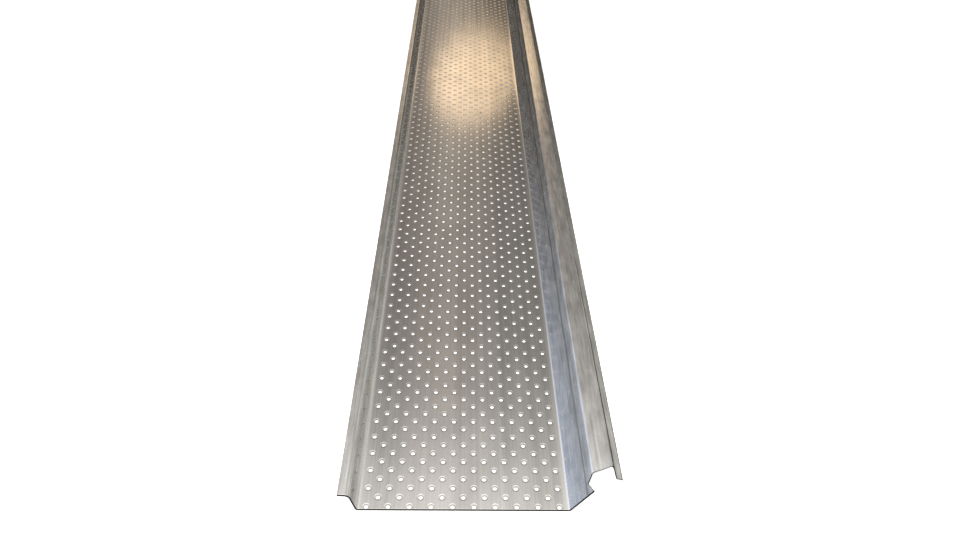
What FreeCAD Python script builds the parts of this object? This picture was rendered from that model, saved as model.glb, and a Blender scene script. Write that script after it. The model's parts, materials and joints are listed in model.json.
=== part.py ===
import FreeCAD, Part
import math
import os

# A roll-formed gutter guard: one sheet with a perforated flat panel, a stepped
# lip along its back edge, and along its front edge a slope, a nearly level shelf
# and a lip one step lower that curls down.
# Sizes are in millimetres. X runs across the sheet, Y along it, Z up.

length = 914.4
thickness = 0.6

# perforation: rows of round holes, every second row set half a pitch aside
hole_pitch = 10.0
hole_diameter = 2.0
holes_across = 10
end_web = 0.7

# flat metal between the outermost holes and the bend on either side
back_web = 2.4
front_web = 2.9

# back step, measured on the upper surface
back_rise = 10.9
back_run = 2.7
back_lip_width = 5.5
back_foot_radius = 1.0
back_crown_radius = 3.2

# front flange, measured on the upper surface
slope_rise = 16.1
slope_run = 9.8
shelf_rise = 0.7
shelf_run = 10.0
step_drop = 1.2
step_run = 1.2
lip_drop = 0.4
lip_run = 2.4
curl_drop = 0.9
curl_run = 0.5
slope_foot_radius = 1.2
slope_crown_radius = 2.4
crest_radius = 1.0
step_foot_radius = 0.5
curl_radius = 0.9

# notch in the front flange at the near end, seen from above: steps along X are
# from the foot of the slope, steps along Y from the near end
tab_reach = 9.3
throat_point = (7.6, 6.0)
throat_top = (9.8, 9.5)
shelf_cut = 12.8
finger_setback = 6.6
finger_corner = 0.8

hole_radius = hole_diameter / 2
row_step = hole_pitch / 2
first_row = hole_radius + end_web
row_count = int((length - 2 * first_row) / row_step) + 1


def unit(a, b):
    """The direction from one section point to another."""
    run, rise = b[0] - a[0], b[1] - a[1]
    size = math.hypot(run, rise)
    return run / size, rise / size


def tangent_length(a, corner, b, radius):
    """How far a bend of this radius reaches from its corner along each leg."""
    into, out = unit(a, corner), unit(corner, b)
    turn = math.atan2(into[0] * out[1] - into[1] * out[0], into[0] * out[0] + into[1] * out[1])
    return radius * math.tan(abs(turn) / 2), turn


# corners of the upper surface from the back edge to the front edge, with the
# panel's upper surface at the height of the sheet's thickness
outer_hole = (holes_across - 1) / 2 * hole_pitch + hole_radius
back_angle = math.atan2(back_rise, back_run)
slope_angle = math.atan2(slope_rise, slope_run)
back_foot = (-outer_hole - back_web - back_foot_radius * math.tan(back_angle / 2), thickness)
back_crown = (back_foot[0] - back_run, back_foot[1] + back_rise)
back_edge = (back_crown[0] - back_lip_width, back_crown[1])
slope_foot = (outer_hole + front_web + slope_foot_radius * math.tan(slope_angle / 2), thickness)
slope_crown = (slope_foot[0] + slope_run, slope_foot[1] + slope_rise)
crest = (slope_crown[0] + shelf_run, slope_crown[1] + shelf_rise)
step_foot = (crest[0] + step_run, crest[1] - step_drop)
curl_corner = (step_foot[0] + lip_run, step_foot[1] - lip_drop)
front_edge = (curl_corner[0] + curl_run, curl_corner[1] - curl_drop)

panel_back = -outer_hole - back_web
panel_front = outer_hole + front_web


def strip(corners, radii):
    """A bent strip of the sheet: its upper surface follows the corners with a
    round bend at each inner corner, and its lower surface is one thickness below."""
    upper, lower = [], []
    for i, corner in enumerate(corners):
        before = unit(corners[i - 1], corner) if i else unit(corner, corners[i + 1])
        after = unit(corner, corners[i + 1]) if i + 1 < len(corners) else before
        ends = [(corner, before)]
        bend = None
        if 0 < i < len(corners) - 1:
            reach, turn = tangent_length(corners[i - 1], corner, corners[i + 1], radii[i - 1])
            start = (corner[0] - before[0] * reach, corner[1] - before[1] * reach)
            stop = (corner[0] + after[0] * reach, corner[1] + after[1] * reach)
            side = 1 if turn > 0 else -1
            centre = (
                start[0] - side * before[1] * radii[i - 1],
                start[1] + side * before[0] * radii[i - 1],
            )
            ends = [(start, before), (stop, after)]
            bend = (centre, unit(centre, corner), radii[i - 1], radii[i - 1] + side * thickness)
        points = [to_vector(p) for p, _ in ends]
        under = [to_vector((p[0] + d[1] * thickness, p[1] - d[0] * thickness)) for p, d in ends]
        if i == 0:
            first_cap = Part.makeLine(points[0], under[0])
        elif last_upper.distanceToPoint(points[0]) > 1e-6:
            upper.append(Part.makeLine(last_upper, points[0]))
            lower.append(Part.makeLine(last_lower, under[0]))
        if bend is not None:
            centre, way, upper_radius, lower_radius = bend
            upper.append(arc_edge(points, centre, way, upper_radius))
            lower.append(arc_edge(under, centre, way, lower_radius))
        last_upper, last_lower = points[-1], under[-1]
    last_cap = Part.makeLine(last_upper, last_lower)
    outline = Part.Wire(Part.__sortEdges__(upper + lower + [first_cap, last_cap]))
    return Part.Face(outline).extrude(FreeCAD.Vector(0, length, 0))


def to_vector(point):
    return FreeCAD.Vector(point[0], 0, point[1])


def arc_edge(points, centre, way, radius):
    """The round part of a bend, through the middle point that faces its corner."""
    middle = to_vector((centre[0] + way[0] * radius, centre[1] + way[1] * radius))
    return Part.Arc(points[0], middle, points[-1]).toShape()


def perforated_panel():
    """The flat panel as one face with every hole in it, given its thickness."""
    corners = [
        FreeCAD.Vector(panel_back, 0, 0),
        FreeCAD.Vector(panel_front, 0, 0),
        FreeCAD.Vector(panel_front, length, 0),
        FreeCAD.Vector(panel_back, length, 0),
    ]
    wires = [Part.makePolygon(corners + corners[:1])]
    for row in range(row_count):
        count = holes_across - row % 2
        for place in range(count):
            centre = FreeCAD.Vector(
                (place - (count - 1) / 2) * hole_pitch, first_row + row * row_step, 0
            )
            circle = Part.makeCircle(hole_radius, centre, FreeCAD.Vector(0, 0, -1))
            wires.append(Part.Wire(circle))
    return Part.Face(wires).extrude(FreeCAD.Vector(0, 0, thickness))


def notch():
    """The prism that is cut out of the near end of the front flange: it leaves a
    pointed tab on the slope and a tapered finger of the lip."""
    foot = slope_foot[0]
    beyond = front_edge[0] + thickness + 1
    plan = [
        (foot + tab_reach, -1),
        (foot + tab_reach, 0),
        (foot + throat_point[0], throat_point[1]),
        (foot + throat_top[0], throat_top[1]),
        (crest[0], shelf_cut),
        (step_foot[0] - finger_corner / 2, shelf_cut - finger_corner),
        (step_foot[0], finger_setback),
        (beyond, finger_setback),
        (beyond, -1),
    ]
    points = [FreeCAD.Vector(x, y, 0) for x, y in plan]
    outline = Part.Face(Part.makePolygon(points + points[:1]))
    return outline.extrude(FreeCAD.Vector(0, 0, crest[1] + 1))


back_flange = strip(
    [back_edge, back_crown, back_foot, (panel_back, thickness)],
    [back_crown_radius, back_foot_radius],
)
front_flange = strip(
    [(panel_front, thickness), slope_foot, slope_crown, crest, step_foot, curl_corner, front_edge],
    [slope_foot_radius, slope_crown_radius, crest_radius, step_foot_radius, curl_radius],
)
sheet = perforated_panel().fuse([back_flange, front_flange.cut(notch())])
sheet = sheet.Solids[0]

# the origin is under the middle of the sheet
box = sheet.BoundBox
sheet.translate(FreeCAD.Vector(-(box.XMin + box.XMax) / 2, -length / 2, -box.ZMin))

os.makedirs("parts", exist_ok=True)
sheet.exportStep("parts/guard_sheet.step")
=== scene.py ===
import json
import math

import bpy
import numpy as np
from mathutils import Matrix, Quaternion, Vector


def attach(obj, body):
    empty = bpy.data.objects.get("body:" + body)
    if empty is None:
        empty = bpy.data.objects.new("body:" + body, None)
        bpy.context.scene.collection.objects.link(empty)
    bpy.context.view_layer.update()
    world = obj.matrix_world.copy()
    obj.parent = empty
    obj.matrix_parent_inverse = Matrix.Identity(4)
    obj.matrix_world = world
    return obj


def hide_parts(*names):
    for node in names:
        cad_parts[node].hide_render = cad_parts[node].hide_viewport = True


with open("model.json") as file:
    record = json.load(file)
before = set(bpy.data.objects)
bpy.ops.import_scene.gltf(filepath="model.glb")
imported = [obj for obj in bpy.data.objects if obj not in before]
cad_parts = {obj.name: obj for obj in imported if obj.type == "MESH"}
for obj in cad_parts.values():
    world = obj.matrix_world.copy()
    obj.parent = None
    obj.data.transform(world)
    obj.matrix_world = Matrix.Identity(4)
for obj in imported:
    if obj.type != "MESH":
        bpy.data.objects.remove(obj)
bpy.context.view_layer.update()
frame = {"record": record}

# Sizes of the sheet in millimetres: X from the middle of the hole pattern, Y from the
# notched near end, Z from the floor.
length = 914.4
thickness = 0.6
hole_pitch = 10.0
hole_radius = 1.0
holes_across = 10
end_web = 0.7
back_web = 2.4
front_web = 2.9

# The punch has drawn the metal in round each hole, so its upper rim is a small funnel.
rim_radius = 1.85
rim_depth = 0.07
rim_tilt_outer = math.radians(7)
rim_tilt_inner = math.radians(-3)
underside_radius = 0.95
funnel_margin = 0.05

# The shear has rolled the near edge down: drop and lean of the edge and of the roll's shoulder.
roll_width = 0.65
roll_shoulder = 0.42
roll_drops = (0.07, 0.02)
roll_tilts = (math.radians(40), math.radians(14))

# Bends of the section, as steps from one corner of the upper surface to the next.
back_lip_width = 5.5
back_rise, back_run = 10.9, 2.7
back_foot_radius, back_crown_radius = 1.0, 3.2
slope_rise, slope_run = 16.1, 9.8
shelf_rise, shelf_run = 0.7, 10.0
step_drop, step_run = 1.2, 1.2
lip_drop, lip_run = 0.4, 2.4
curl_drop, curl_run = 0.9, 0.5
slope_foot_radius, slope_crown_radius = 1.2, 2.4
crest_radius, step_foot_radius, curl_radius = 1.0, 0.5, 0.9

# The back lip rises a little to its edge, and the shelf is very slightly arched.
lip_lean = 0.2
shelf_arch = 0.045

# A shallow crease that the forming rolls left along the slope, and the shade painted along it.
crease_height = 11.5
crease_half_width = 0.9
crease_depth = 0.08
painted_crease_shade_width = 0.6

# A painted sheen lightens the flat metal beside both feet, and the forming rolls have dished it a
# little. The dishing is in the normals alone.
painted_sheen_width = 1.4
foot_lean = math.radians(1.8)

# The notch at the near end of the front flange: X from the foot of the slope.
tab_reach = 9.3
throat_x, throat_y = 7.6, 6.0
throat_top_x, throat_top_y = 9.8, 9.5
shelf_cut = 12.8
finger_setback = 6.6
finger_corner = 0.8

# Fineness of the mesh: turn per step of a bend, points across the arch and the crease, points
# round a hole, and the steps in a millimetre to which points are welded.
bend_step = math.radians(8)
relief_points = 7
hole_sides = 12
weld_steps = 100

# The limits between which most of a noise texture's values lie.
noise_range = (0.3, 0.7)

millimetre = 0.001
row_step = hole_pitch / 2
first_row = hole_radius + end_web
row_count = int((length - 2 * first_row) / row_step) + 1
outer_hole = (holes_across - 1) / 2 * hole_pitch
panel_back = -outer_hole - hole_radius - back_web
panel_front = outer_hole + hole_radius + front_web
pattern_middle = frame["record"]["mounts"][0]["pos_m"][0]

# The finishes, in the order of the sheet's materials.
PANEL_FACE, FLANGE_FACE, CUT_AND_SHADE_FACE, HOLE_WALL = range(4)

# Lines across the sheet. The row lines are the end of the rolled edge, the middles between the rows
# of holes, and the far end. A flange has the two lines of the roll, the first three row lines, and
# then every fourth, of which the last is the far end.
row_lines = np.r_[roll_width, first_row + row_step * (np.arange(row_count - 1) + 0.5), length]
row_middles = first_row + row_step * np.arange(row_count)
flange_lines = np.r_[0, roll_shoulder, row_lines[:3], row_lines[3::4]]

slope_angle = math.atan2(slope_rise, slope_run)
slope_foot = np.array([panel_front + slope_foot_radius * math.tan(slope_angle / 2), thickness])
crease_middle = slope_foot + np.array([slope_run, slope_rise]) * crease_height / slope_rise


def bent_section(corners, radii):
    """Upper surface of a bent strip: straight from corner to corner, and at each inner corner
    an arc of the given radius that touches both runs. Along an arc the direction turns in equal
    steps, and the point is the arc's centre plus or minus the radius times the left normal.
    Returns the points and their upward normals."""
    corners = np.asarray(corners, float)
    runs = np.diff(corners, axis=0)
    headings = np.arctan2(runs[:, 1], runs[:, 0])
    points = [corners[:1]]
    angles = [headings[:1]]
    for corner, before, after, radius in zip(corners[1:-1], headings[:-1], headings[1:], radii):
        turn = after - before
        reach = radius * math.tan(abs(turn) / 2)
        side = math.copysign(radius, turn)
        steps = max(2, math.ceil(abs(turn) / bend_step))
        heading = before + turn * np.linspace(0, 1, steps + 1)
        start = corner - reach * np.array([math.cos(before), math.sin(before)])
        centre = start + side * np.array([-math.sin(before), math.cos(before)])
        points.append(centre - side * np.stack([-np.sin(heading), np.cos(heading)], 1))
        angles.append(heading)
    points.append(corners[-1:])
    angles.append(headings[-1:])
    points, angles = np.concatenate(points), np.concatenate(angles)
    kept = np.r_[True, np.linalg.norm(np.diff(points, axis=0), axis=1) > 1e-6]
    normals = np.stack([-np.sin(angles), np.cos(angles)], 1)
    return points[kept], normals[kept]


def with_stations(points, normals, stations):
    """The section with extra points where the straight runs pass the given X: height and normal there
    lie in proportion between those of the neighbouring points."""
    x = np.sort(np.r_[points[:, 0], stations])
    new_points = np.stack([x, np.interp(x, points[:, 0], points[:, 1])], 1)
    new_normals = np.stack([np.interp(x, points[:, 0], normals[:, k]) for k in (0, 1)], 1)
    return new_points, new_normals


def with_arch(points, normals, start, stop):
    """The section with the run between two X raised to a flat arch: by the arch's height times four
    times t times one less t, with t from 0 to 1 over the run. The normals lean with its slope."""
    points, normals = with_stations(points, normals, np.linspace(start, stop, relief_points))
    t = (points[:, 0] - start) / (stop - start)
    inside = (t >= 0) & (t <= 1)
    points[:, 1] += np.where(inside, 4 * shelf_arch * t * (1 - t), 0)
    lean = np.where(inside, 4 * shelf_arch * (1 - 2 * t) / (stop - start), 0)
    normals = normals - lean[:, None] * np.stack([normals[:, 1], -normals[:, 0]], 1)
    return points, normals / np.linalg.norm(normals, axis=1, keepdims=True)


def with_crease(points, normals):
    """The section with a crease across the slope: along the slope the surface sinks by the crease's
    depth times the squared cosine of a quarter turn over its half width, and the normals lean with
    the slope of that curve."""
    along = np.array([math.cos(slope_angle), math.sin(slope_angle)])
    upward = np.array([-along[1], along[0]])
    step = np.linspace(-1, 1, relief_points)
    sunk = crease_depth * np.cos(math.pi / 2 * step) ** 2
    lean = crease_depth / crease_half_width * math.pi / 2 * np.sin(math.pi * step)
    crease = crease_middle + crease_half_width * step[:, None] * along - sunk[:, None] * upward
    tilted = upward - lean[:, None] * along
    tilted /= np.linalg.norm(tilted, axis=1, keepdims=True)
    order = np.argsort(np.r_[points[:, 0], crease[:, 0]])
    return np.concatenate([points, crease])[order], np.concatenate([normals, tilted])[order]


def grid_quads(rows, columns):
    """Quads of a grid of points that is stored row by row, turned counter-clockwise."""
    index = np.arange(rows * columns).reshape(rows, columns)
    return np.stack([index[:-1, :-1], index[:-1, 1:], index[1:, 1:], index[1:, :-1]], -1).reshape(-1, 4)


def block(points, faces, normals, finish=PANEL_FACE):
    """One lot of points in millimetres with its faces, a normal for each face corner and a finish."""
    return points.reshape(-1, 3), faces, np.broadcast_to(normals, faces.shape + (3,)), finish


def both_sides(section, normals, y):
    """Upper and lower surface over a section and an array of Y (lines by section points): the
    lower one is the upper one moved one thickness against its normal."""
    x, z = (np.broadcast_to(section[:, k], y.shape) for k in (0, 1))
    nx, nz = (np.broadcast_to(normals[:, k], y.shape) for k in (0, 1))
    upper = np.stack([x, y, z], -1)
    upright = np.stack([nx, 0 * nx, nz], -1)
    return upper, upper - thickness * upright, upright


def roll_near_edge(upper, upright):
    """Rolls the first two lines of a strip down: each drops along its normal, and the normal leans
    towards the near end."""
    for line, (drop, tilt) in enumerate(zip(roll_drops, roll_tilts)):
        upper[line] -= drop * upright[line]
        upright[line] = math.cos(tilt) * upright[line] + [0, -math.sin(tilt), 0]


def skin(upper, lower, upright, finish=FLANGE_FACE):
    """Quads of both surfaces of a bent strip, the lower ones turned over."""
    quads = grid_quads(*upper.shape[:2])
    corner_normals = upright.reshape(-1, 3)[quads]
    turned = quads[:, ::-1]
    return [
        block(upper, quads, corner_normals, finish),
        block(lower, turned, -corner_normals[:, ::-1], finish),
    ]


def rolled_skin(upper, lower, upright, finish=FLANGE_FACE):
    """Both surfaces of a strip with a rolled edge, whose outermost part is painted as dark as the cut,
    as shade along the edge.
    """
    outermost = skin(upper[:2], lower[:2], upright[:2], CUT_AND_SHADE_FACE)
    return outermost + skin(upper[1:], lower[1:], upright[1:], finish)


def cut_edge(upper, lower):
    """The narrow face of a cut edge: quads from the upper line to the lower one, square to both."""
    points = np.stack([upper, lower])
    quads = grid_quads(*points.shape[:2])[:, ::-1]
    corners = points.reshape(-1, 3)[quads]
    across = np.cross(corners[:, 2] - corners[:, 0], corners[:, 3] - corners[:, 1])
    across /= np.maximum(np.linalg.norm(across, axis=1, keepdims=True), 1e-12)
    return block(points, quads, across[:, None, :], CUT_AND_SHADE_FACE)


def joined_to_panel(upper, lower, upright, first, second):
    """The strip of a bend next to the panel. The panel's edge has a point between the rows and at
    the middle of each row, and the flange has fewer lines, so the strip is made of triangles: from
    each step of the edge to the nearest line, and from each two lines to the edge point between."""
    edge_y = np.sort(np.r_[row_lines, row_middles])
    line_y = upper[:, first, 1]
    nearest = np.searchsorted((line_y[1:] + line_y[:-1]) / 2, (edge_y[1:] + edge_y[:-1]) / 2)
    between = np.searchsorted(nearest, np.arange(1, len(line_y)))
    step = np.arange(len(edge_y) - 1)
    line = len(edge_y) + np.arange(len(line_y) - 1)
    steps = np.stack([step, step + 1, len(edge_y) + nearest], 1)
    lines = np.stack([line + 1, line, between], 1)
    near, far = upright[0, first], upright[0, second]
    tilt = np.concatenate([
        np.broadcast_to([near, near, far], steps.shape + (3,)),
        np.broadcast_to([far, far, near], lines.shape + (3,)),
    ])
    faces = np.concatenate([steps, lines])
    blocks = []
    for surface, way in ((upper, 1), (lower, -1)):
        corner = surface[0, first]
        edge = np.stack([corner[0] + 0 * edge_y, edge_y, corner[2] + 0 * edge_y], 1)
        points = np.concatenate([edge, surface[:, second]])
        turned = -1 if (way > 0) == (second > first) else 1
        blocks.append(block(points, faces[:, ::turned], way * tilt[:, ::turned], FLANGE_FACE))
    return blocks


def to_panel(x):
    """X of a patch corner: beyond the outermost holes the patches narrow to the panel's edges."""
    front = outer_hole + (x - outer_hole) * (panel_front - outer_hole) / row_step
    back = -outer_hole + (x + outer_hole) * (-outer_hole - panel_back) / row_step
    return np.where(x > outer_hole, front, np.where(x < -outer_hole, back, x))


def dished(x):
    """Normals of the panel's upper face at an array of X: upright, but leaning inwards from the rims of
    the outermost holes to the panel's edges, in proportion to the distance."""
    inner = outer_hole + rim_radius
    towards_back = np.clip((-x - inner) / (-panel_back - inner), 0, 1)
    towards_front = np.clip((x - inner) / (panel_front - inner), 0, 1)
    lean = foot_lean * (towards_back - towards_front)
    return np.stack([np.sin(lean), 0 * lean, np.cos(lean)], -1)


def hole_patches():
    """Every hole with its share of the panel. The hole's rings are circles of twelve points, at
    the funnel's rim, at the hole's edge a little lower, and at the underside. Each ring is joined
    to the next, and the outermost ones to twelve points round a rectangle of one pitch by half a
    pitch. A rim that would reach into the rolled edge is cut short there."""
    counts = holes_across - np.arange(row_count) % 2
    row = np.repeat(np.arange(row_count), counts)
    place = np.arange(counts.sum()) - np.repeat(np.cumsum(counts) - counts, counts)
    centre_x = ((place - (counts[row] - 1) / 2) * hole_pitch)[:, None]
    centre_y = row_middles[row][:, None]
    turn = np.arange(hole_sides) * 2 * math.pi / hole_sides
    round_x, round_y = np.cos(turn), np.sin(turn)
    patch_x = np.array([2, 2, 1, 0, -1, -2, -2, -2, -1, 0, 1, 2]) * hole_pitch / 4
    patch_y = np.array([0, 1, 1, 1, 1, 1, 0, -1, -1, -1, -1, -1])
    low, high = row_lines[row][:, None], row_lines[row + 1][:, None]
    border_x = to_panel(centre_x + patch_x)
    border_y = np.where(patch_y > 0, high, np.where(patch_y < 0, low, centre_y))

    rim_x = centre_x + rim_radius * round_x
    rim_y = np.maximum(centre_y + rim_radius * round_y, low + funnel_margin)

    def level(x, y, z):
        """Points of a ring that all have one height."""
        return np.stack([x, y, z + 0 * x], -1)

    def circle(radius, z):
        """A ring round the hole's centre: the centre plus the radius times cosine and sine."""
        return level(centre_x + radius * round_x, centre_y + radius * round_y, z)

    rings = np.stack([
        level(border_x, border_y, thickness),
        level(rim_x, rim_y, thickness),
        circle(hole_radius, thickness - rim_depth),
        circle(underside_radius, 0),
        level(border_x, border_y, 0),
    ], 1)

    step = np.arange(hole_sides)
    after = (step + 1) % hole_sides
    holes = np.arange(len(row))[:, None, None] * rings.shape[1] * hole_sides

    def ring_faces(ring):
        """Quads from one ring to the next, at every hole."""
        inner, outer = (ring + 1) * hole_sides, ring * hole_sides
        quads = np.stack([outer + step, outer + after, inner + after, inner + step], -1)
        return (holes + quads).reshape(-1, 4)

    def leaning(tilt, which):
        """Normals at chosen points of a ring: upright, but leaning to the hole's middle by the tilt."""
        sine, cosine = math.sin(tilt), math.cos(tilt)
        return np.stack([-sine * round_x, -sine * round_y, cosine + 0 * round_x], -1)[which]

    rim = np.stack([leaning(rim_tilt_outer, step), leaning(rim_tilt_outer, after),
                    leaning(rim_tilt_inner, after), leaning(rim_tilt_inner, step)], 1)
    wall_tilt = math.atan2(thickness - rim_depth, hole_radius - underside_radius)
    wall = np.stack([leaning(wall_tilt, which) for which in (step, after, after, step)], 1)
    down = np.array([0.0, 0, -1])
    repeats = (len(row), 1, 1)
    level_faces = ring_faces(0)
    return [
        block(rings, level_faces, dished(rings.reshape(-1, 3)[level_faces, 0])),
        block(rings, ring_faces(1), np.tile(rim, repeats)),
        block(rings, ring_faces(2), np.tile(wall, repeats), HOLE_WALL),
        block(rings, ring_faces(3), down),
    ]


def row_ends():
    """Flat metal at both ends of the shorter rows: two by two quads from the last patch to the
    panel's edge, on the upper and the lower face."""
    blocks = []
    rows = np.arange(1, row_count, 2)
    y = np.stack([row_lines[rows], row_middles[rows], row_lines[rows + 1]], 1)[:, :, None]
    side_points = 3
    shape = (len(rows), side_points, side_points)
    cells = np.arange(len(rows))[:, None, None] * side_points ** 2
    quads = (cells + grid_quads(side_points, side_points)).reshape(-1, 4)
    front = outer_hole + np.arange(side_points) * row_step / 2
    for x in (front, -front[::-1]):
        x_grid, y_grid = np.broadcast_to(to_panel(x), shape), np.broadcast_to(y, shape)
        upper = np.stack([x_grid, y_grid, thickness + 0 * x_grid], -1)
        lower = upper - [0, 0, thickness]
        blocks.append(block(upper, quads, dished(upper.reshape(-1, 3)[quads, 0])))
        blocks.append(block(lower, quads[:, ::-1], np.array([0.0, 0, -1])))
    return blocks


def panel_ends():
    """The two ends of the perforated panel over the points of the end rows: the near end's rolled
    strip, and the cut edges."""
    x = to_panel(np.arange(-2 * holes_across, 2 * holes_across + 1) * hole_pitch / 4)
    section = np.stack([x, thickness + 0 * x], 1)
    level = np.stack([0 * x, 1 + 0 * x], 1)
    y = np.repeat([[0.0], [roll_shoulder], [roll_width], [length]], len(x), 1)
    upper, lower, _ = both_sides(section, level, y)
    upright = dished(upper[..., 0])
    roll_near_edge(upper, upright)
    return rolled_skin(upper[:3], lower[:3], upright[:3], PANEL_FACE) + [
        cut_edge(upper[0], lower[0]),
        cut_edge(upper[3, ::-1], lower[3, ::-1]),
    ]


def back_flange():
    """The stepped back lip: its section carried along the sheet, with a line at every fourth row."""
    foot_reach = back_foot_radius * math.tan(math.atan2(back_rise, back_run) / 2)
    foot = np.array([panel_back - foot_reach, thickness])
    crown = foot + [-back_run, back_rise]
    edge = crown + [thickness * lip_lean / back_lip_width - back_lip_width, lip_lean]
    section, normals = bent_section(
        [edge, crown, foot, [panel_back, thickness]],
        [back_crown_radius, back_foot_radius],
    )
    y = np.repeat(flange_lines[:, None], len(section), 1)
    upper, lower, upright = both_sides(section, normals, y)
    upright[:, -1] = dished(upper[:, -1, 0])
    roll_near_edge(upper, upright)
    free = (slice(None), slice(None, -1))
    corner = (slice(0, 3), slice(-2, None))
    blocks = rolled_skin(upper[free], lower[free], upright[free])
    blocks += rolled_skin(upper[corner], lower[corner], upright[corner])
    blocks += joined_to_panel(upper[2:], lower[2:], upright[2:], -1, -2)
    blocks.append(cut_edge(upper[::-1, 0], lower[::-1, 0]))
    blocks.append(cut_edge(upper[0], lower[0]))
    blocks.append(cut_edge(upper[-1, ::-1], lower[-1, ::-1]))
    return blocks


def front_flange():
    """The front flange: slope, nearly level shelf, and lower lip with its curl, carried along the
    sheet. At the near end the first three lines shape the rolled edge, the fourth follows the notch,
    the fifth lies halfway from it to the sixth, and the pointed tab fills the gap between the rolled
    edge and the notch."""
    crown = slope_foot + [slope_run, slope_rise]
    crest = crown + [shelf_run, shelf_rise]
    step_foot = crest + [step_run, -step_drop]
    curl_corner = step_foot + [lip_run, -lip_drop]
    section, normals = bent_section(
        [[panel_front, thickness], slope_foot, crown, crest, step_foot, curl_corner,
         curl_corner + [curl_run, -curl_drop]],
        [slope_foot_radius, slope_crown_radius, crest_radius, step_foot_radius, curl_radius],
    )
    throat = slope_foot[0] + throat_x
    finger_root = step_foot[0] - finger_corner / 2
    section, normals = with_stations(section, normals, [throat, finger_root])
    shelf_ends = crown[0] + slope_crown_radius / 2, crest[0] - crest_radius / 2
    section, normals = with_arch(section, normals, *shelf_ends)
    section, normals = with_crease(section, normals)
    x = section[:, 0]
    throat_index = int(np.argmin(np.abs(x - throat)))
    tip_index = int(np.argmin(np.abs(x - slope_foot[0] - tab_reach)))
    notch_line = np.interp(
        x,
        [panel_front, throat, slope_foot[0] + throat_top_x, crest[0], finger_root, step_foot[0]],
        [row_lines[1], throat_y, throat_top_y, shelf_cut, shelf_cut - finger_corner, finger_setback],
    )
    y = np.repeat(flange_lines[:, None], len(section), 1)
    y[3] = notch_line
    y[4] = (notch_line + row_lines[3]) / 2
    upper, lower, upright = both_sides(section, normals, y)
    upright[:, 0] = dished(upper[:, 0, 0])
    roll_near_edge(upper, upright)

    blocks = skin(upper[3:, 1:], lower[3:, 1:], upright[3:, 1:])
    for near in ((slice(0, 4), slice(1, throat_index + 1)), (slice(0, 3), slice(0, 2))):
        blocks += rolled_skin(upper[near], lower[near], upright[near])
    blocks += joined_to_panel(upper[2:], lower[2:], upright[2:], 0, 1)

    tab = slice(throat_index, tip_index + 1)
    tab_y = throat_y * (x[tip_index] - x[tab]) / (x[tip_index] - x[throat_index])
    rolled = np.repeat([[0.0], [roll_shoulder], [roll_width]], len(tab_y), 1)
    tab_lines = np.concatenate([rolled, np.maximum(tab_y, roll_width)[None]])
    tab_upper, tab_lower, tab_upright = both_sides(section[tab], normals[tab], tab_lines)
    roll_near_edge(tab_upper, tab_upright)
    blocks += rolled_skin(tab_upper, tab_lower, tab_upright)
    tab_side = [np.concatenate([side[:2, -1], side[3, ::-1]]) for side in (tab_upper, tab_lower)]
    blocks.append(cut_edge(*tab_side))
    blocks.append(cut_edge(upper[0, :tip_index + 1], lower[0, :tip_index + 1]))
    blocks.append(cut_edge(upper[3, throat_index:], lower[3, throat_index:]))
    blocks.append(cut_edge(upper[3:, -1], lower[3:, -1]))
    blocks.append(cut_edge(upper[-1, ::-1], lower[-1, ::-1]))
    return blocks


def weld(blocks):
    """Welds points that fall together to a hundredth of a millimetre and drops the corners that
    this doubles, so a quad with a closed side becomes a triangle. Returns the points, the faces
    by their number of corners, and each face's corner normals and finish."""
    points = np.concatenate([b[0] for b in blocks])
    starts = np.cumsum([0] + [len(b[0]) for b in blocks[:-1]])
    _, first, joined = np.unique(
        np.round(points * weld_steps).astype(np.int64), axis=0, return_index=True, return_inverse=True
    )
    joined = joined.ravel()
    faces, normals, finishes = [], [], []
    for start, (_, corners, corner_normals, finish) in zip(starts, blocks):
        ids = joined[corners + start]
        kept = ids != np.roll(ids, 1, axis=1)
        totals = kept.sum(1)
        for count in range(3, corners.shape[1] + 1):
            chosen = totals == count
            mask = kept[chosen]
            faces += ids[chosen][mask].reshape(-1, count).tolist()
            normals.append(corner_normals[chosen][mask])
            finishes.append(np.full(chosen.sum(), finish))
    return points[first], faces, np.concatenate(normals), np.concatenate(finishes)


def make_sheet():
    """The whole perforated and bent sheet as one closed mesh in the row frame, in metres. The painted
    shade along the crease and the painted sheen beside the feet are stored with its points: each is the
    exponential of minus the square of the distance, from the crease or from the panel's edges, over the
    mark's width."""
    points, faces, normals, finishes = weld(
        hole_patches() + row_ends() + panel_ends() + back_flange() + front_flange()
    )
    from_crease = np.hypot(points[:, 0] - crease_middle[0], points[:, 2] - crease_middle[1])
    # Painted shade: the colour darkens along the crease.
    painted_crease_shade = np.exp(-(from_crease / painted_crease_shade_width) ** 2)
    aside = np.minimum(np.abs(points[:, 0] - panel_back), np.abs(points[:, 0] - panel_front))
    # Painted sheen: the colour lightens beside both feet.
    painted_sheen = np.exp(-(np.hypot(aside, points[:, 2] - thickness) / painted_sheen_width) ** 2)
    points = points * millimetre + [pattern_middle, -length / 2 * millimetre, 0]
    mesh = bpy.data.meshes.new("perforated_sheet")
    mesh.from_pydata(points, [], faces, shade_flat=False)
    mesh.polygons.foreach_set("material_index", finishes.astype(np.int32))
    for name, values in (("painted_crease_shade", painted_crease_shade), ("painted_sheen", painted_sheen)):
        mesh.attributes.new(name, "FLOAT", "POINT").data.foreach_set("value", values.astype(np.float32))
    mesh.normals_split_custom_set(normals.tolist())
    mesh.update()
    sheet = bpy.data.objects.new("perforated_sheet", mesh)
    bpy.context.scene.collection.objects.link(sheet)
    return sheet


def new_material(name):
    """An empty node material with its Principled shader and Object coordinates."""
    material = bpy.data.materials.new(name)
    material.use_nodes = True
    nodes, links = material.node_tree.nodes, material.node_tree.links
    shader = nodes["Principled BSDF"]
    place = nodes.new("ShaderNodeTexCoord").outputs["Object"]
    return material, nodes, links, shader, place


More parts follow.
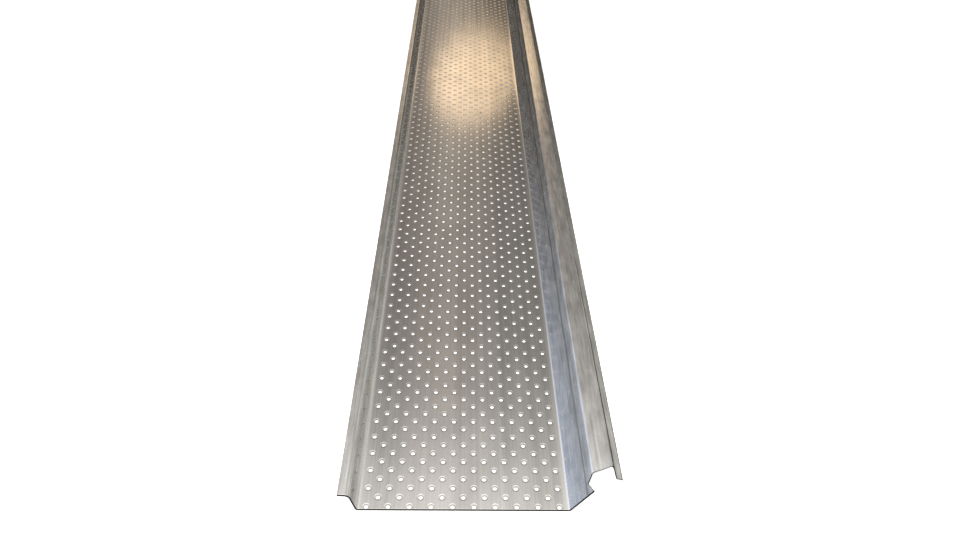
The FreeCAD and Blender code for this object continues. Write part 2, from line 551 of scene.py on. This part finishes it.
def stretched_noise(nodes, links, place, scale, detail, turn=0.0):
    """Noise over coordinates that are turned and scaled apart, so its grain is as long as the
    metal's."""
    mapping = nodes.new("ShaderNodeMapping")
    mapping.inputs["Scale"].default_value = scale
    mapping.inputs["Rotation"].default_value = (0, 0, turn)
    links.new(place, mapping.inputs["Vector"])
    noise = nodes.new("ShaderNodeTexNoise")
    noise.inputs["Scale"].default_value = 1.0
    noise.inputs["Detail"].default_value = detail
    links.new(mapping.outputs["Vector"], noise.inputs["Vector"])
    return noise.outputs["Fac"]


def spread(nodes, links, value, low, high, to_low, to_high):
    """A value between two limits carried over to a new range."""
    node = nodes.new("ShaderNodeMapRange")
    for name, number in (("From Min", low), ("From Max", high), ("To Min", to_low), ("To Max", to_high)):
        node.inputs[name].default_value = number
    links.new(value, node.inputs["Value"])
    return node.outputs["Result"]


def combine(nodes, links, operation, first, second):
    """Two values put together by a Math node."""
    node = nodes.new("ShaderNodeMath")
    node.operation = operation
    links.new(first, node.inputs[0])
    links.new(second, node.inputs[1])
    return node.outputs["Value"]


def marked_places(nodes, links, name, strength):
    """How far a mark that is stored with the mesh shows, up to the given strength."""
    mark = nodes.new("ShaderNodeAttribute")
    mark.attribute_name = name
    return spread(nodes, links, mark.outputs["Fac"], 0.0, 1.0, 0.0, strength)


def tone_between(nodes, links, value, dark, light):
    """A colour between a dark and a light tone."""
    tone = nodes.new("ShaderNodeMix")
    tone.data_type = "RGBA"
    tone.inputs["A"].default_value = dark
    tone.inputs["B"].default_value = light
    links.new(value, tone.inputs["Factor"])
    return tone.outputs["Result"]


def add_grain(nodes, links, shader, height, depth):
    """Fine relief of the metal's grain, of the given depth in metres."""
    bump = nodes.new("ShaderNodeBump")
    bump.inputs["Strength"].default_value = 0.05
    bump.inputs["Distance"].default_value = depth
    links.new(height, bump.inputs["Height"])
    links.new(bump.outputs["Normal"], shader.inputs["Normal"])


def panel_metal():
    """Bare mill-finish sheet of the panel: fine streaks along the rolling direction, broader bands,
    smudges that dull and darken it, and a painted sheen that lightens it beside the feet."""
    material, nodes, links, shader, place = new_material("panel_metal")
    fine = stretched_noise(nodes, links, place, (900, 7, 900), 3)
    bands = stretched_noise(nodes, links, place, (130, 1.6, 130), 2)
    smudges = stretched_noise(nodes, links, place, (60, 35, 60), 6)
    streaks = combine(
        nodes, links, "ADD",
        spread(nodes, links, fine, *noise_range, 0.0, 0.4),
        spread(nodes, links, bands, *noise_range, 0.0, 0.4),
    )
    soiled = spread(nodes, links, smudges, 0.4, 0.65, -0.1, 0.25)
    lightness = combine(nodes, links, "SUBTRACT", streaks, soiled)
    # A painted sheen lightens the panel beside both feet.
    lightness = combine(nodes, links, "ADD", lightness, marked_places(nodes, links, "painted_sheen", 0.9))
    colour = tone_between(nodes, links, lightness, (0.60, 0.593, 0.58, 1), (0.83, 0.82, 0.805, 1))
    links.new(colour, shader.inputs["Base Color"])
    dulled = combine(
        nodes, links, "ADD",
        spread(nodes, links, fine, *noise_range, 0.11, 0.14),
        spread(nodes, links, smudges, 0.5, 0.8, 0.0, 0.03),
    )
    links.new(dulled, shader.inputs["Roughness"])
    add_grain(nodes, links, shader, fine, 0.00002)
    shader.inputs["Metallic"].default_value = 1.0
    return material


def flange_metal():
    """The same sheet where the forming rolls and hands have dulled it: broken streaks along the bends,
    blotches, pale scuffs that run aslant, a painted sheen beside the foot, and painted shade along the
    crease."""
    material, nodes, links, shader, place = new_material("flange_metal")
    streaks = stretched_noise(nodes, links, place, (1100, 45, 1100), 4)
    blotches = stretched_noise(nodes, links, place, (240, 70, 240), 5)
    scuffs = stretched_noise(nodes, links, place, (1500, 300, 1500), 2, math.radians(20))
    pale = spread(nodes, links, scuffs, 0.68, 0.85, 0.0, 0.2)
    worn = combine(
        nodes, links, "ADD",
        spread(nodes, links, streaks, *noise_range, 0.1, 0.55),
        spread(nodes, links, blotches, *noise_range, 0.1, 0.55),
    )
    marked = combine(nodes, links, "ADD", worn, pale)
    # A painted sheen lightens the flange beside its foot.
    marked = combine(nodes, links, "ADD", marked, marked_places(nodes, links, "painted_sheen", 0.6))
    # Painted shade darkens the flange along the crease.
    lightness = combine(nodes, links, "SUBTRACT", marked, marked_places(nodes, links, "painted_crease_shade", 0.9))
    colour = tone_between(nodes, links, lightness, (0.42, 0.422, 0.418, 1), (0.97, 0.972, 0.965, 1))
    links.new(colour, shader.inputs["Base Color"])
    dulled = combine(nodes, links, "ADD", spread(nodes, links, blotches, *noise_range, 0.18, 0.23), pale)
    links.new(dulled, shader.inputs["Roughness"])
    add_grain(nodes, links, shader, streaks, 0.00001)
    shader.inputs["Metallic"].default_value = 1.0
    return material


def torn_metal(name, dark, light, metallic):
    """Slightly torn, rough metal, as the shear and the punch leave it: painted near black on the cut
    edges as their shade, and dull and pale in the holes."""
    material, nodes, links, shader, place = new_material(name)
    torn = stretched_noise(nodes, links, place, (1800, 1800, 500), 3)
    links.new(tone_between(nodes, links, torn, dark, light), shader.inputs["Base Color"])
    links.new(spread(nodes, links, torn, *noise_range, 0.45, 0.65), shader.inputs["Roughness"])
    shader.inputs["Metallic"].default_value = metallic
    return material


def pale_floor():
    """A matt white floor with a faint unevenness, lit from below at its near end like a photo table."""
    material, nodes, links, shader, place = new_material("pale_floor")
    mottle = stretched_noise(nodes, links, place, (3, 3, 3), 2)
    colour = tone_between(nodes, links, mottle, (0.86, 0.86, 0.86, 1), (0.90, 0.90, 0.90, 1))
    links.new(colour, shader.inputs["Base Color"])
    shader.inputs["Roughness"].default_value = 0.9
    shader.inputs["Specular IOR Level"].default_value = 0.1
    shader.inputs["Emission Color"].default_value = (1, 1, 1, 1)
    axes = nodes.new("ShaderNodeSeparateXYZ")
    links.new(place, axes.inputs["Vector"])
    below = spread(nodes, links, axes.outputs["Y"], -0.27, 0.03, 0.75, 0.08)
    links.new(below, shader.inputs["Emission Strength"])
    return material


def make_floor():
    """A square floor just under the sheet. The metal doesn't mirror it."""
    half, height = 6.0, -0.0002
    mesh = bpy.data.meshes.new("floor")
    corners = [(-half, -half), (half, -half), (half, half), (-half, half)]
    mesh.from_pydata([corner + (height,) for corner in corners], [], [(0, 1, 2, 3)])
    mesh.materials.append(pale_floor())
    floor = bpy.data.objects.new("floor", mesh)
    floor.visible_glossy = False
    bpy.context.scene.collection.objects.link(floor)


def add_light(name, kind, place, aim, colour, turn=0.0):
    """A lamp at a place, with its -Z axis towards the aim, turned about that axis."""
    lamp = bpy.data.lights.new(name, kind)
    lamp.color = colour
    holder = bpy.data.objects.new(name, lamp)
    holder.location = place
    away = Vector(place) - Vector(aim)
    holder.rotation_mode = "QUATERNION"
    holder.rotation_quaternion = away.to_track_quat("Z", "Y") @ Quaternion((0, 0, 1), turn)
    bpy.context.scene.collection.objects.link(holder)
    return holder


def room_glow(nodes, links, strength, colour):
    """One share of the room's light, with a strength that changes over the directions."""
    glow = nodes.new("ShaderNodeBackground")
    glow.inputs["Color"].default_value = colour
    links.new(strength, glow.inputs["Strength"])
    return glow.outputs["Background"]


def raised(nodes, links, value, power):
    """A value to a power."""
    node = nodes.new("ShaderNodeMath")
    node.operation = "POWER"
    links.new(value, node.inputs[0])
    node.inputs[1].default_value = power
    return node.outputs["Value"]


def studio_room():
    """A room that is dark at the floor's level, dim ahead, lighter to the sides and light overhead.
    The overhead light follows a power of the height from halfway up and dims again at the top, the
    light of either side follows a power of the distance from the middle, and a soft band of light
    rises over the lamp. Steeply below, the room is as pale as the floor, except ahead to the right."""
    room = bpy.data.worlds.new("studio")
    room.use_nodes = True
    nodes, links = room.node_tree.nodes, room.node_tree.links
    axes = nodes.new("ShaderNodeSeparateXYZ")
    links.new(nodes.new("ShaderNodeTexCoord").outputs["Generated"], axes.inputs["Vector"])
    across, ahead, height = (axes.outputs[name] for name in "XYZ")
    above_floor = spread(nodes, links, height, -0.12, 0.08, 0.0, 1.0)
    high_up = spread(nodes, links, height, 0.3, 0.55, 0.0, 1.0)

    def side(start, stop, power, strength, share):
        """Light of one side: a power of the way between two distances, times strength and share."""
        reach = spread(nodes, links, across, start, stop, 0.0, 1.0)
        grown = spread(nodes, links, raised(nodes, links, reach, power), 0.0, 1.0, 0.0, strength)
        return combine(nodes, links, "MULTIPLY", grown, share)

    overhead = raised(nodes, links, spread(nodes, links, height, 0.5, 1.0, 0.0, 1.0), 4.5)
    overhead = combine(
        nodes, links, "MINIMUM",
        spread(nodes, links, overhead, 0.0, 1.0, 0.0, 3.5),
        spread(nodes, links, height, 0.93, 0.985, 1.8, 0.8),
    )
    band = combine(
        nodes, links, "MINIMUM",
        spread(nodes, links, across, -0.085, -0.015, 0.0, 1.0),
        spread(nodes, links, across, -0.015, 0.055, 1.0, 0.0),
    )
    band = combine(nodes, links, "MULTIPLY", band, spread(nodes, links, height, 0.4, 0.85, 0.32, 0.16))
    underneath = combine(
        nodes, links, "MAXIMUM",
        spread(nodes, links, ahead, -0.05, -0.3, 0.0, 1.0),
        spread(nodes, links, across, 0.3, 0.1, 0.0, 1.0),
    )
    underneath = combine(
        nodes, links, "MULTIPLY", underneath, spread(nodes, links, height, -0.3, -0.5, 0.0, 0.6),
    )
    all_round = spread(nodes, links, height, -0.1, 0.1, 0.01, 0.07)
    upper_part = spread(nodes, links, height, 0.3, 0.6, 0.0, 0.15)
    soft_white = (1.0, 0.985, 0.96, 1)
    glows = [
        room_glow(nodes, links, underneath, (1.0, 1.0, 0.99, 1)),
        room_glow(nodes, links, all_round, (1.0, 0.80, 0.58, 1)),
        room_glow(nodes, links, upper_part, soft_white),
        room_glow(nodes, links, overhead, soft_white),
        room_glow(nodes, links, side(-0.42, -1.0, 1.4, 0.98, above_floor), (0.85, 1.0, 1.27, 1)),
        room_glow(nodes, links, side(-0.1, -1.0, 1.0, 1.3, high_up), (0.95, 0.97, 1.12, 1)),
        room_glow(nodes, links, side(0.2, 0.6, 2.0, 0.45, above_floor), (1.0, 1.0, 0.93, 1)),
        room_glow(nodes, links, side(0.0, 0.1, 1.0, 0.05, high_up), (0.98, 1.0, 1.0, 1)),
        room_glow(nodes, links, band, (1.0, 0.88, 0.77, 1)),
    ]
    total = glows[0]
    for glow in glows[1:]:
        both = nodes.new("ShaderNodeAddShader")
        links.new(total, both.inputs[0])
        links.new(glow, both.inputs[1])
        total = both.outputs["Shader"]
    links.new(total, nodes["World Output"].inputs["Surface"])
    bpy.context.scene.world = room


def light_studio():
    """A soft light overhead that whitens the floor and isn't mirrored, and a warm oval lamp low ahead
    that the far half of the panel mirrors. The lamp's power is its radiance times pi times the area
    of its oval."""
    overhead = add_light("overhead", "SUN", (0, -0.2, 3), (0, -0.2, 0), (1.0, 0.99, 0.975))
    overhead.visible_glossy = False
    overhead.data.energy = 1.6
    overhead.data.angle = math.radians(30)
    lamp_place, lamp_colour = (0.04, 2.45, 1.085), (1.0, 0.71, 0.42)
    lamp = add_light("warm_lamp", "AREA", lamp_place, (0, 0, 0), lamp_colour, math.radians(40)).data
    lamp.shape = "ELLIPSE"
    lamp.size, lamp.size_y = 0.42, 0.36
    radiance = 1.15
    lamp.energy = radiance * math.pi * math.pi * lamp.size * lamp.size_y / 4
    studio_room()


def place_camera():
    """The camera where the photograph was taken from, worked out from the pattern of holes: it looks
    down along the sheet, from a place before its near end and a little left of the pattern's middle."""
    lens = bpy.data.cameras.new("camera")
    lens.sensor_width = 36.0
    lens.lens = 27.095
    lens.clip_start = 0.01
    holder = bpy.data.objects.new("camera", lens)
    aside, along, height = -0.0034685, -0.647908, 0.297412
    turns = (51.1141, -1.6786, -0.7763)
    holder.location = (pattern_middle + aside, along, height)
    holder.rotation_euler = [math.radians(turn) for turn in turns]
    bpy.context.scene.collection.objects.link(holder)
    bpy.context.scene.camera = holder


sheet = make_sheet()
for finish in (
    panel_metal(),
    flange_metal(),
    # The cut faces and the outermost strip of each rolled edge are painted near black, as shade along
    # the cut edges.
    torn_metal("sheared_edge_painted_shade", (0.015, 0.015, 0.015, 1), (0.07, 0.068, 0.065, 1), 1.0),
    torn_metal("punched_wall", (0.46, 0.44, 0.41, 1), (0.62, 0.60, 0.57, 1), 0.0),
):
    sheet.data.materials.append(finish)
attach(sheet, "root")
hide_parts("guard_sheet")

make_floor()
light_studio()
place_camera()
bpy.context.scene.view_settings.view_transform = "Standard"
